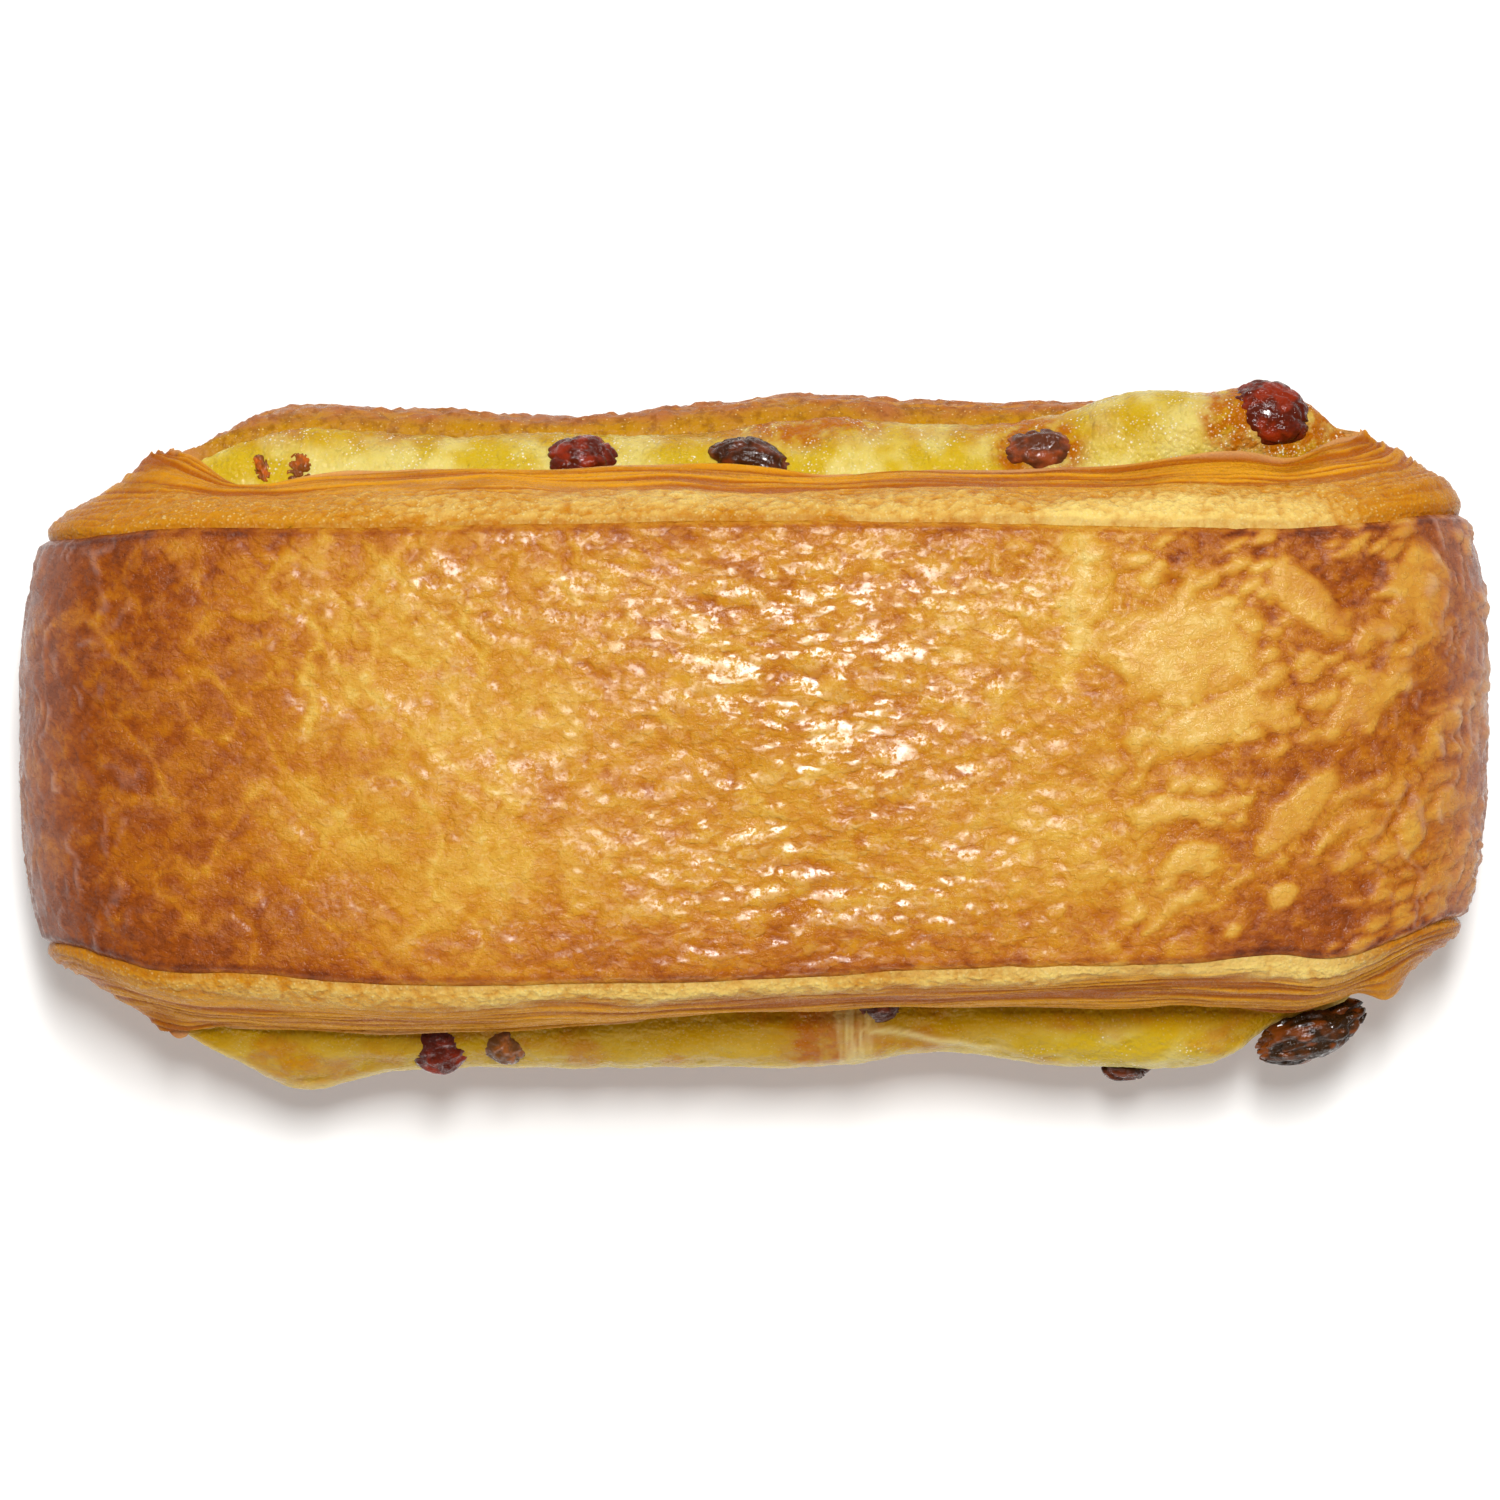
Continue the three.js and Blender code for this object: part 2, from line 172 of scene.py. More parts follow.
class Loop:
    """Places round the outside of the folded strip, in XZ, from the middle of the base over
    the right end and the top. u is the distance from the middle of the top, + to the right."""

    def __init__(self, step_shown, step_hidden):
        angle = np.linspace(-np.pi / 2, 1.5 * np.pi, LOOP_SAMPLES)
        across, up = np.cos(angle), np.sin(angle)
        top_round = np.where(across < 0, LEFT_ROUND, RIGHT_ROUND)
        power = 2 / np.where(up > 0, top_round, BASE_ROUND)
        rise = np.where(up > 0, HEIGHT - BELT_Z, BELT_Z + BASE_SINK)
        x = LENGTH / 2 * signed_power(across, power)
        z = np.maximum(BELT_Z + rise * signed_power(up, power), 0)
        away = np.concatenate([[0], np.cumsum(np.hypot(np.diff(x), np.diff(z)))])
        step = np.where((z[1:] + z[:-1]) / 2 > HIDDEN_BELOW, step_shown, step_hidden)
        count = np.concatenate([[0], np.cumsum(np.diff(away) / step)])
        rows = int(count[-1])
        at = np.interp(np.arange(rows) * count[-1] / rows, count, away)
        self.x = np.interp(at, away, x)
        self.z = np.interp(at, away, z)
        self.u = np.interp(0.5 * np.pi, angle, away) - at
        ahead, behind = (at + TANGENT) % away[-1], (at - TANGENT) % away[-1]
        run = np.interp(ahead, away, x) - np.interp(behind, away, x)
        climb = np.interp(ahead, away, z) - np.interp(behind, away, z)
        size = np.hypot(run, climb)
        self.out_x = climb / size
        self.out_z = -run / size
        self.inner_x, self.inner_z = pocket_wall(self.x, self.z)


def pocket_half_height(x):
    end = np.where(x < 0, POCKET_LEFT, POCKET_RIGHT)
    along = np.minimum(np.abs(x) / end, 1)
    return POCKET_HALF_HEIGHT * (1 - along**POCKET_LENS) ** POCKET_POINT


def pocket_wall(x, z):
    end = np.where(x < 0, POCKET_LEFT, POCKET_RIGHT)
    half = LENGTH / 2
    lag = ((half / end) ** POCKET_TAPER - 1) ** (-1 / POCKET_TAPER) * half
    inner = x / (1 + (np.abs(x) / lag) ** POCKET_TAPER) ** (1 / POCKET_TAPER)
    side = np.where(z > BELT_Z, 1, -1)
    return inner, POCKET_Z + side * pocket_half_height(inner)


def edge_at(table, x, z):
    """One of the edge tables above, read at a place round the loop."""
    up = smooth(z, *EDGE_RISE)
    span = mix(table["base"], table["top"], up)
    end = np.where(x < 0, table["left"], table["right"])
    start = mix(END_ZONE["base"], END_ZONE["top"], up)
    return mix(span, end, smooth(np.abs(x), start, END_ZONE["full"]))


def top_weight(x, z):
    return smooth(z, *TOP_ZONE["up"]) * (1 - smooth(np.abs(x), *TOP_ZONE["out"]))


def base_weight(x, z):
    return (1 - smooth(z, *BASE_ZONE["up"])) * (1 - smooth(np.abs(x), *BASE_ZONE["out"]))


def crown(ox, oz, side):
    """How far the skin rounds down towards its two cut edges."""
    drop = mix(CROWN_TOP, CROWN_END, smooth(np.abs(ox), *CROWN_ENDS))
    return drop * smooth(oz, *CROWN_RISE) * np.abs(side) ** CROWN_POWER


def rim_round(d):
    return (1 - np.abs(2 * d - 1) ** RIM_POWER) ** (1 / RIM_POWER)


def far_y(ox, oz, x, d):
    """The far cut side: y at depth d in the layers, from the pocket (0) to the skin (1)."""
    top, base = top_weight(ox, oz), base_weight(ox, oz)
    edge = edge_at(FAR_EDGE, ox, oz) + top * 0.35 * np.sin(x / 17 + 1.4)
    mouth = edge_at(FAR_MOUTH, ox, oz) + top * swell_at(FAR_MOUTH_SWELLS, x)
    rim_wave = 0.4 * np.sin(x / 13 + 0.9) + 0.3 * np.sin(x / 5.1) + swell_at(FAR_RIM_SWELLS, x)
    rim = base * (FAR_RIM + rim_wave) * rim_round(d)
    return mix(mouth, edge, d) + rim + tear_at(FAR_TEARS, x, d) * smooth(oz, *TORN_RISE)


def near_y(ox, oz, x, d):
    """The near cut side, in the same way."""
    top, base = top_weight(ox, oz), base_weight(ox, oz)
    slant = NEAR_EDGE_SLANT * x + 0.3 * np.sin(x / 19 - 1) + swell_at(NEAR_EDGE_SWELLS, x)
    edge = edge_at(NEAR_EDGE, ox, oz) + top * slant
    mouth = edge_at(NEAR_MOUTH, ox, oz) + top * swell_at(NEAR_MOUTH_SWELLS, x)
    rim = base * NEAR_RIM * rim_round(d)
    torn = tear_at(NEAR_TEARS, x, d) * smooth(oz, *TORN_RISE)
    seat = tear_at([RAISIN_SEAT], x, d) * (1 - smooth(oz, *SEAT_RISE))
    return mix(mouth, edge, d) - rim - torn + seat


def lower_slab(ox, oz):
    """Where the cut is the toasted rim of the lower slab, as far as the folds."""
    return (1 - smooth(oz, *BASE_ZONE["up"])) * (1 - smooth(np.abs(ox), *CROWN_ENDS))


def new_piece(name, vertices, faces, facts):
    """A piece with its mesh where it belongs, from places in millimetres. facts holds a number
    for each place, kept as an attribute that the finish reads."""
    mesh = bpy.data.meshes.new(name)
    mesh.from_pydata((vertices * MM).tolist(), [], faces)
    mesh.shade_smooth()
    for fact, values in facts.items():
        layer = mesh.attributes.new(fact, "FLOAT", "POINT")
        layer.data.foreach_set("value", np.ascontiguousarray(values, np.float32))
    piece = bpy.data.objects.new(name, mesh)
    bpy.context.scene.collection.objects.link(piece)
    return piece


def closed_grid(name, points, facts):
    """A piece from a grid of places that closes on itself both ways round."""
    rows, columns = points.shape[:2]
    corner = np.arange(rows * columns).reshape(rows, columns)
    right, down = np.roll(corner, -1, 1), np.roll(corner, -1, 0)
    quads = np.stack([corner, right, np.roll(down, -1, 1), down], -1).reshape(-1, 4)
    spread = {fact: np.broadcast_to(v, (rows, columns)).ravel() for fact, v in facts.items()}
    return new_piece(name, points.reshape(-1, 3), quads.tolist(), spread)


CUT_DEPTH = 13.5
LAYER = 0.42
LEAF = 0.55
CELL_WIDE = 1.0
CELL_HIGH = 1.1
BLEB = 0.9
BLEBS_ACROSS = 9
PALE_MIDDLE = 42
PALE_WIDTH = 13


def cut_relief(u, d, ox, oz, seed, puffed, leaves, bulge, fresh):
    """How one cut side is textured: its height, how open and pebbly its crumb is, its layer
    lines and how brown it baked. puffed is where across the cut the open crumb begins, leaves
    how far the fine leaves by the filling reach, and fresh how pale the crumb stayed."""
    ends = smooth(np.abs(ox), 58, 74)
    base = lower_slab(ox, oz)
    upper = 1 - base
    depth = CUT_DEPTH * d
    wander = 0.9 * noise(u / 17, depth / 6, seed=seed)
    wander = wander + 0.25 * noise(u / 5, depth / 2, seed=seed + 1)
    lines = rough((depth + wander) / LAYER, u / 18, seed=seed + 2, octaves=2)
    bound = puffed + 0.6 * smooth(u, 0, 40) * (puffed - 0.55)
    bound = bound + 0.07 * noise(u / 12, 0, seed=seed + 4)
    bound = bound + 0.05 * noise(u / 2.5, depth, seed=seed + 8)
    open_ = smooth(d, bound - 0.16, bound + 0.14) * (1 - 0.5 * ends) * upper
    shelf = rim_round(np.minimum(d, 0.5))
    drift = 0.5 * noise(u, depth, seed=seed + 5)
    cell = 1 - 1.5 * bubbles(u / CELL_WIDE + drift, depth / CELL_HIGH - drift, seed=seed + 6)
    clump = rough(u / 2.2, depth / 1.4, seed=seed + 9, octaves=2)
    blebs = 0.5 - bubbles(u / BLEB - drift, BLEBS_ACROSS * shelf + drift, seed=seed + 15)
    hem = (1 - smooth(d, 0.02, leaves)) * upper
    leaf = noise((depth + wander) / LEAF, u / 14, seed=seed + 10)

    height = open_ * (0.4 + 0.26 * cell + 0.14 * clump)
    height = height + (1 - open_) * upper * mix(0.22, 0.3, ends) * lines
    height = height + base * (0.3 * clump + 0.34 * blebs) * smooth(shelf, 0.0, 0.3)
    height = height + bulge * 4 * d * (1 - d) * upper * (1 - ends)
    height = height + 0.35 * noise(u / 9, depth / 6, seed=seed + 7) + hem * 0.45 * leaf
    height = height - 0.12 * smooth(d, 0.95, 0.985) * upper

    pale = fresh + 0.3 * noise(u / 7, depth / 5, seed=seed + 12) + 0.5 * cell
    pale = pale + 0.8 * bell(u, PALE_MIDDLE, PALE_WIDTH) * smooth(d, 0.6, 0.85)
    pale = pale - 0.5 * smooth(-u, 34, 60) - 0.4 * ends
    lip = smooth(0.05 - d, 0, 0.04) * upper
    scorched = 0.05 + 0.36 * rough(u / 6, depth / 2.5, seed=seed + 11)
    brown = 0.6 * hem * (0.55 - 0.7 * leaf) * (1 - lip) + scorched * upper * (1 - open_)
    # Browner over the folded ends, and along the last half millimetre of the cut next to the skin.
    brown = brown + (0.3 * ends + 0.25 * smooth(d, 0.96, 0.99)) * upper
    toast = 0.75 - 0.25 * smooth(u, 10, 24) + 0.35 * clump
    toast = toast + 0.3 * noise(u / 8, 5 * shelf, seed=seed + 16)
    ragged = shelf + 0.2 * clump
    brown = mix(brown, smooth(ragged, 0.2, 0.85) * toast, base)
    soaked = base * (1 - smooth(ragged, 0.45, 0.95))
    return height, {
        "open": open_, "line": lines, "brown": np.clip(brown, 0, 1), "pale": np.clip(pale, 0, 1),
        "lip": lip, "soaked": soaked,
    }


SKIN_SEAT = 0.8
CUT_LIFT = 0.2
FLOOR_GAP = 0.12
CUT_ROWS = 88


def cut_side(name, facing, step_top, step_base, **texture):
    """One half of the strip: its cut side, and plain faces under the skin and in the pocket."""
    strip = Loop(step_top, step_base)
    cut = (np.arange(CUT_ROWS) / CUT_ROWS) ** 1.4
    d = np.concatenate([cut, [1, 1, 0.6, 0.2, 0, 0]])[None, :]
    side = facing * np.concatenate([cut * 0 + 1, [1, 0.5, 0, 0, 0, 0.5]])[None, :]
    on_cut = np.abs(side) == 1
    ox, oz, u = strip.x[:, None], strip.z[:, None], strip.u[:, None]
    x = mix(strip.inner_x[:, None], ox, d)
    z = mix(strip.inner_z[:, None], oz, d)
    height, facts = cut_relief(u, d, ox, oz, **texture)
    facts["rim"] = lower_slab(ox, oz) + 0 * d
    facts["lip"] = facts["lip"] * on_cut
    y = mix(near_y(ox, oz, x, d), far_y(ox, oz, x, d), (side + 1) / 2)
    y = y + facing * height * on_cut * smooth(z, 0.1, 1.5)
    # The innermost leaves draw in where they turn the corner of the right fold.
    y = y - facing * 1.3 * bell(d, 0, 0.3) * bell(x, 64, 3.5)
    sunk = d**8 * (SKIN_SEAT - CUT_LIFT * on_cut + crown(ox, oz, side))
    x = x - sunk * strip.out_x[:, None]
    z = np.maximum(z - sunk * strip.out_z[:, None], FLOOR_GAP)
    points = np.stack([x, y, z], -1)
    if facing < 0:
        points, facts = points[::-1], {fact: values[::-1] for fact, values in facts.items()}
    return closed_grid(name, points, facts)


crumb_far = cut_side(
    "crumb_far", 1, 0.42, 0.5, seed=100, puffed=0.55, leaves=0.2, bulge=0.6, fresh=0.12)
crumb_near = cut_side(
    "crumb_near", -1, 0.42, 0.9, seed=300, puffed=0.76, leaves=0.25, bulge=1.3, fresh=0.36)


class Value:
    """A shader socket that adds its own Math nodes when it is used in arithmetic."""

    def __init__(self, finish, socket):
        self.finish, self.socket = finish, socket

    def maths(self, operation, other, swapped=False):
        first, second = (other, self) if swapped else (self, other)
        return self.finish.node("ShaderNodeMath", {"operation": operation}, {0: first, 1: second})

    def __add__(self, other):
        return self.maths("ADD", other)

    def __radd__(self, other):
        return self.maths("ADD", other, True)

    def __sub__(self, other):
        return self.maths("SUBTRACT", other)

    def __rsub__(self, other):
        return self.maths("SUBTRACT", other, True)

    def __mul__(self, other):
        return self.maths("MULTIPLY", other)

    def __rmul__(self, other):
        return self.maths("MULTIPLY", other, True)


# How bright a white surface facing up is under the lights at the end of this file.
WHITE_LEVEL = 1.28


def linear(rgb):
    light = ((c / 255 / 12.92) if c <= 10 else ((c / 255 + 0.055) / 1.055) ** 2.4 for c in rgb)
    return tuple(c / WHITE_LEVEL for c in light)


def colour(value):
    """Screen colours from 0 to 255 as a socket's linear colour; links pass through."""
    if isinstance(value, Value):
        return value
    return (*linear(value), 1)


class Finish:
    """A material whose Principled shader is filled in by name."""

    def __init__(self, name):
        self.material = bpy.data.materials.new(name)
        self.material.use_nodes = True
        self.tree = self.material.node_tree
        self.shader = self.tree.nodes["Principled BSDF"]

    def node(self, kind, settings=None, sockets=None, output=0):
        node = self.tree.nodes.new(kind)
        for key, value in (settings or {}).items():
            if key == "stops":
                self.set_stops(node.color_ramp, value)
            else:
                setattr(node, key, value)
        self.fill(node, sockets or {})
        return Value(self, node.outputs[output])

    def set_stops(self, ramp, stops):
        while len(ramp.elements) < len(stops):
            ramp.elements.new(1.0)
        for element, (position, tint) in zip(ramp.elements, stops):
            element.position = position
            element.color = colour(tint)

    def fill(self, node, sockets):
        for key, value in sockets.items():
            if isinstance(value, Value):
                self.tree.links.new(value.socket, node.inputs[key])
            else:
                node.inputs[key].default_value = value

    def surface(self, **sockets):
        self.fill(self.shader, {key.replace("_", " "): value for key, value in sockets.items()})
        return self.material

    def fact(self, name):
        """A number that the mesh carries for each place."""
        return self.node("ShaderNodeAttribute", {"attribute_name": name}, output=2)

    def place(self):
        """Object coordinates."""
        return self.node("ShaderNodeTexCoord", output=3)

    def grain(self, size_mm, detail=2.0, roughness=0.5, stretch=(1, 1, 1)):
        """Noise over the piece with blobs of about size_mm."""
        place = self.node("ShaderNodeMapping", None, {"Vector": self.place(), "Scale": stretch})
        return self.node("ShaderNodeTexNoise", None, {
            "Vector": place, "Scale": 0.5 / (size_mm * MM),
            "Detail": detail, "Roughness": roughness,
        })

    def cells(self, size_mm):
        """Distance from the middle of the nearest of many dots, size_mm apart."""
        return self.node("ShaderNodeTexVoronoi", None, {
            "Vector": self.place(), "Scale": 1 / (size_mm * MM),
        })

    def limit(self, value, low, high, to_low=0.0, to_high=1.0):
        """A soft step from to_low to to_high while value goes from low to high."""
        return self.node("ShaderNodeMapRange", {"interpolation_type": "SMOOTHSTEP"}, {
            "Value": value, "From Min": low, "From Max": high, "To Min": to_low, "To Max": to_high,
        })

    def blend(self, amount, first, second):
        return self.node("ShaderNodeMix", {"data_type": "RGBA"}, {
            0: amount, 6: colour(first), 7: colour(second),
        }, output=2)

    def bump(self, height, depth_mm):
        return self.node("ShaderNodeBump", None, {
            "Height": height, "Distance": depth_mm * MM, "Strength": 1.0,
        })


CRUMB_PALE = (255, 222, 126)
CRUMB_GOLD = (214, 142, 24)
CRUMB_LEAF = (232, 158, 26)
CRUMB_GROOVE = (186, 100, 4)
CRUMB_BROWN = (164, 80, 10)
CRUMB_RIM = (188, 114, 62)
CRUMB_SCORCH = (128, 62, 12)
CRUMB_LIP = (222, 166, 110)
CRUMB_CELL = (206, 124, 10)
CRUMB_SOAKED = (202, 142, 16)
# The colour of the painted glints on the crumb and on the rim.
CRUMB_PAINTED_GLINT = (255, 232, 160)

finish = Finish("crumb_finish")
open_crumb, line, brown, pale, rim, lip, soaked = (
    finish.fact(name) for name in ("open", "line", "brown", "pale", "rim", "lip", "soaked"))
speckle = finish.grain(0.32, 3.0, 0.6)
froth = finish.grain(0.7, 3.0, 0.7)
pebble = finish.cells(0.42)
leaf = finish.blend(finish.limit(line + speckle * 0.5, -0.3, 0.7), CRUMB_GROOVE, CRUMB_LEAF)
inside = finish.blend(pale, CRUMB_GOLD, CRUMB_PALE)
inside = finish.blend(finish.limit(froth, 0.55, 0.3, 0.0, 0.75) * (1.15 - pale), inside, CRUMB_CELL)
tint = finish.blend(open_crumb, leaf, inside)
tint = finish.blend(soaked, tint, CRUMB_SOAKED)
# Painted highlights: bright dots on the open crumb, and on the toasted rim below it, stand in for
# light glinting on its bubbles.
painted_sparkle = finish.limit(pebble, 0.42, 0.1) * finish.limit(froth, 0.42, 0.6) * (open_crumb * 0.55 + 0.08)
tint = finish.blend(painted_sparkle, tint, CRUMB_PAINTED_GLINT)
tint = finish.blend(brown, tint, finish.blend(rim, CRUMB_BROWN, CRUMB_RIM))
tint = finish.blend(finish.limit(froth, 0.55, 0.34) * rim * 0.5, tint, CRUMB_SCORCH)
painted_glint = finish.limit(pebble, 0.3, 0.12) * finish.limit(speckle, 0.5, 0.6) * rim
tint = finish.blend(painted_glint * 0.5, tint, CRUMB_PAINTED_GLINT)
tint = finish.blend(lip * 0.65, tint, CRUMB_LIP)
crumb_finish = finish.surface(
    Base_Color=tint,
    Roughness=finish.limit(speckle + rim * 0.2, 0.35, 0.65, 0.4, 0.2),
    Specular_IOR_Level=0.07,
    Subsurface_Weight=0.1,
    Subsurface_Radius=(1.0, 0.6, 0.25),
    Subsurface_Scale=0.7 * MM,
    Normal=finish.bump((1 - pebble) * (0.2 + 0.8 * open_crumb) * 0.6 + speckle + froth, 0.22),
)
for crumb in (crumb_far, crumb_near):
    crumb.data.materials.append(crumb_finish)
    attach(crumb, "root")
    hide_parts("dough")


# ------------------------------------------------------------------ glazed crust
# The outer side of the strip, washed with egg and baked to a thin glossy skin. It wrinkled
# like leather in the middle, rose in smooth pale blisters on the right, and went darkest
# over the two folded ends.

SKIN_THICK = 1.1
# The large blisters: middle (u and y), half sizes, and turn in degrees.
BLISTERS = (
    (44.0, 8.8, 8.0, 6.0, 10),
    (47.5, 1.4, 8.0, 2.6, 20),
    (63.3, 4.2, 5.8, 2.7, 32),
    (56.5, 13.8, 6.0, 2.8, -35),
    (56.0, -7.6, 7.0, 2.3, 52),
    (45.0, -12.9, 4.2, 1.6, 18),
    (42.5, -7.6, 5.4, 1.7, 4),
    (54.5, -16.8, 2.2, 1.5, 30),
    (69.0, 14.6, 3.6, 4.6, 0),
)
# Where the skin stretched and cracked pale as the dough rose: u, y from and to, and width.
STRETCHES = ((-44.6, -1, 13, 0.6), (32.8, 4, 22, 1.3))
BLISTER_RISE = 0.5
CREASE_DEPTH = 0.17
FINE_CREASE_DEPTH = 0.09
STRETCH_DEPTH = 0.1
PLEAT_STEP = 2.4
PLEAT_RISE = 0.42
DARKEST = 0.84


def crust_blisters(u, y, a, b, right):
    """How much of the skin is smooth blister: packed small ones, and those of the table."""
    slope = b - 0.4 * a
    packed = 1 - smooth(bubbles(a / 3.4, slope / 1.9, seed=3), 0.2, 0.68)
    small = 1 - smooth(bubbles(a / 1.5, slope / 0.95, seed=4), 0.15, 0.7)
    patch = noise(a / 6, slope / 3.6, seed=19) + 0.4 * noise(a / 2.4, slope / 1.5, seed=20)
    patch = smooth(patch, -0.35, 0.3)
    blister = np.maximum(packed * patch, 0.5 * small * (0.4 + 0.6 * patch)) * (0.12 + 0.88 * right)
    edge = 1 + 0.25 * noise(u / 2.2, y / 2.2, seed=17) + 0.08 * noise(u / 0.9, y / 0.9, seed=18)
    for middle_u, middle_y, half_long, half_wide, turn in BLISTERS:
        cos, sin = math.cos(math.radians(turn)), math.sin(math.radians(turn))
        du, dy = a - middle_u, b - middle_y
        away = np.hypot((du * cos + dy * sin) / half_long, (dy * cos - du * sin) / half_wide)
        blister = np.maximum(blister, 1 - smooth(away * edge, 0.6, 1.1))
    return blister


def crust_stretches(u, y, a, b, ends):
    """How much of the skin is pale crack: those of the table, and a fine net on the left."""
    stretch = 0 * u + 0 * y
    for at, low, high, width in STRETCHES:
        wander = at + 1.3 * noise(0 * u, y / 2.6, seed=41) + 0.5 * noise(0 * u, y / 0.9, seed=42)
        along = smooth(y, low - 1, low + 3) * (1 - smooth(y, high - 2, high + 1))
        stretch = np.maximum(stretch, bell(u, wander, width) * along)
    net = (1 - np.abs(noise(a / 4.5, b / 5.5, seed=43))) ** 9 * smooth(-u, 10, 30) * (1 - ends)
    return np.maximum(stretch, 0.75 * net)


def crust_relief(u, y):
    """Height of the skin, and what its finish reads: how dark it baked (tone), how much of it
    is smooth blister, how much is a hollow where the glaze ran together, how much painted
    sheen it carries for the white room reflected in its glaze, and how much glaze it kept."""
    right = smooth(u, 22, 42) * (1 - smooth(u, 78, 92))
    left = smooth(-u, 30, 72)
    centre = bell(u, 7, 22)
    ends = smooth(np.abs(u), 64, 76)
    calm = 1 - 0.75 * ends
    # The same places, strayed a little, so that no pattern on the skin runs straight.
    a = u + 0.8 * noise(u / 6, y / 6, seed=15) + 0.22 * noise(u / 1.5, y / 1.5, seed=13)
    b = y + 0.8 * noise(u / 6, y / 6, seed=16) + 0.22 * noise(u / 1.5, y / 1.5, seed=14)
    blister = crust_blisters(u, y, a, b, right)
    stretch = crust_stretches(u, y, a, b, ends)

    # Wrinkles like leather: raised lozenges, hollows between them, and creases of two sizes.
    long_way = mix(1.6, 3.2, centre)
    plateau = smooth(noise(a / long_way, b / mix(1.5, 1.3, centre), seed=21), -0.4, -0.05)
    pool = smooth(noise(a / 5.5, b / 1.9, seed=26) + 0.3 * noise(a / 2, b, seed=27), 0.1, 0.6)
    hollow = np.maximum(0.7 * (1 - plateau), pool * mix(0.5, 0.9, centre)) * (1 - 0.8 * blister)
    slack = 1 - 0.7 * blister
    crease = (1 - np.abs(noise(a / (1.1 * long_way), b / 1.5, seed=24))) ** 7
    fine_crease = (1 - np.abs(noise(a / (0.55 * long_way), b / 0.85, seed=28))) ** 6
    creased = CREASE_DEPTH * crease * smooth(noise(u / 7, y / 5, seed=25), -0.5, 0.2)

    # Pleats that run across the two folded ends, and ridges that cross them.
    phase = a + 2.2 * noise(a / 5, b / 4, seed=31) + 1.1 * noise(a / 2, b / 1.5, seed=32)
    pleat = (0.5 + 0.5 * np.sin(2 * np.pi * phase / PLEAT_STEP)) ** 1.4
    pleat = pleat * smooth(noise(a / 1.8, b / 2.4, seed=33), -0.5, 0.5)
    cross = (1 - np.abs(noise(a / 1.6, b / 2.8, seed=34))) ** 4
    ridge = np.maximum(0.75 * pleat, 0.55 * cross)

    height = 0.3 * rough(u / 13, y / 10, seed=1, octaves=2)
    height = height + BLISTER_RISE * blister - mix(0.12, 0.19, centre) * hollow * calm
    height = height - (creased + FINE_CREASE_DEPTH * fine_crease) * slack * calm
    grit = 0.035 * rough(a / 0.9, b / 0.75, seed=23, octaves=2)
    height = height + grit * (1 - 0.5 * blister) * calm
    height = height + PLEAT_RISE * ridge * smooth(np.abs(u), 56, 72) - STRETCH_DEPTH * stretch

    tone = 0.31 + 0.44 * left + 0.34 * smooth(u, 30, 56) + 0.02 * ends
    tone = tone + 0.2 * smooth(-y, 13, 23) + 0.13 * smooth(y, 14, 21) * (1 - 0.5 * centre)
    tone = tone + 0.09 * rough(u / 9, y / 6, seed=5) + 0.2 * bell(u, -21, 3) * bell(y, -8, 4.5)
    tone = tone + 0.1 * hollow + 0.08 * rough(a / 1.8, b / 1.3, seed=8, octaves=2)
    # The wide creases took more colour on the far half.
    far_half = smooth(y, 3, 7) * (1 - smooth(y, 20, 23))
    tone = tone + (0.16 * crease * far_half + 0.07 * fine_crease) * slack
    swollen = 0.17 + 0.16 * smooth(u, 46, 60) + 0.16 * ends
    swollen = swollen + 0.1 * rough(u / 2, y / 1.4, seed=9, octaves=2)
    tone = mix(tone, np.minimum(swollen, tone), 0.9 * blister)
    # Pale cracks where the skin stretched. The ridge tops on the folded ends are painted lighter,
    # and a lilac-white painted sheen lies over the ends and the right blisters: both are painted
    # reflections of the white room in the glaze.
    tone = tone - 0.26 * stretch - 0.12 * ends * ridge
    dry = 0.7 * smooth(np.abs(u), 58, 74) * smooth(ridge, 0.35, 1)
    dry = dry + 0.45 * smooth(np.abs(u), 68, 82) + 0.08 * blister * right
    glaze = 1.45 * bell(u, 7, 21) * (1 - 0.7 * smooth(y, 13, 20)) + 0.08
    streak = 0.7 * smooth(noise(u / 4.5, y / 2.6, seed=44), -0.1, 0.5)
    glaze = glaze + streak * smooth(-u, 8, 22) * (1 - ends)
    return height, {
        "tone": np.clip(tone, 0, DARKEST), "blister": blister, "hollow": hollow, "dry": dry,
        "glaze": glaze,
    }


BAND_COLUMNS = 128
EDGE_COLUMNS = 3
UNDERSIDE = (0.995, 0, -0.995)
EDGE_DROP = 0.5
BASE_TONE = 0.66

skin = Loop(0.37, 3.0)
even = np.linspace(-1, 1, BAND_COLUMNS + 1)
across = mix(even, np.sin(even * np.pi / 2), 0.3)
edge_turn = np.arange(1, EDGE_COLUMNS) / EDGE_COLUMNS
side = np.concatenate([across, edge_turn * 0 + 1, UNDERSIDE, edge_turn * 0 - 1])[None, :]
sink = np.concatenate([across * 0, edge_turn, [1, 1, 1], 1 - edge_turn])[None, :] * SKIN_THICK
ox, oz, u = skin.x[:, None], skin.z[:, None], skin.u[:, None]
y = mix(near_y(ox, oz, ox, 1.0), far_y(ox, oz, ox, 1.0), (side + 1) / 2)
y = y + side**9 * (0.1 * noise(u / 4, 0, seed=51) + 0.04)
height, facts = crust_relief(u, y)
shown = smooth(oz, 0.6, 6)
edge_drop = EDGE_DROP * smooth(np.abs(side), 0.975, 1.0) * shown
lift = height * shown * (1 - 0.6 * np.abs(side) ** 20) - crown(ox, oz, side) - edge_drop - sink
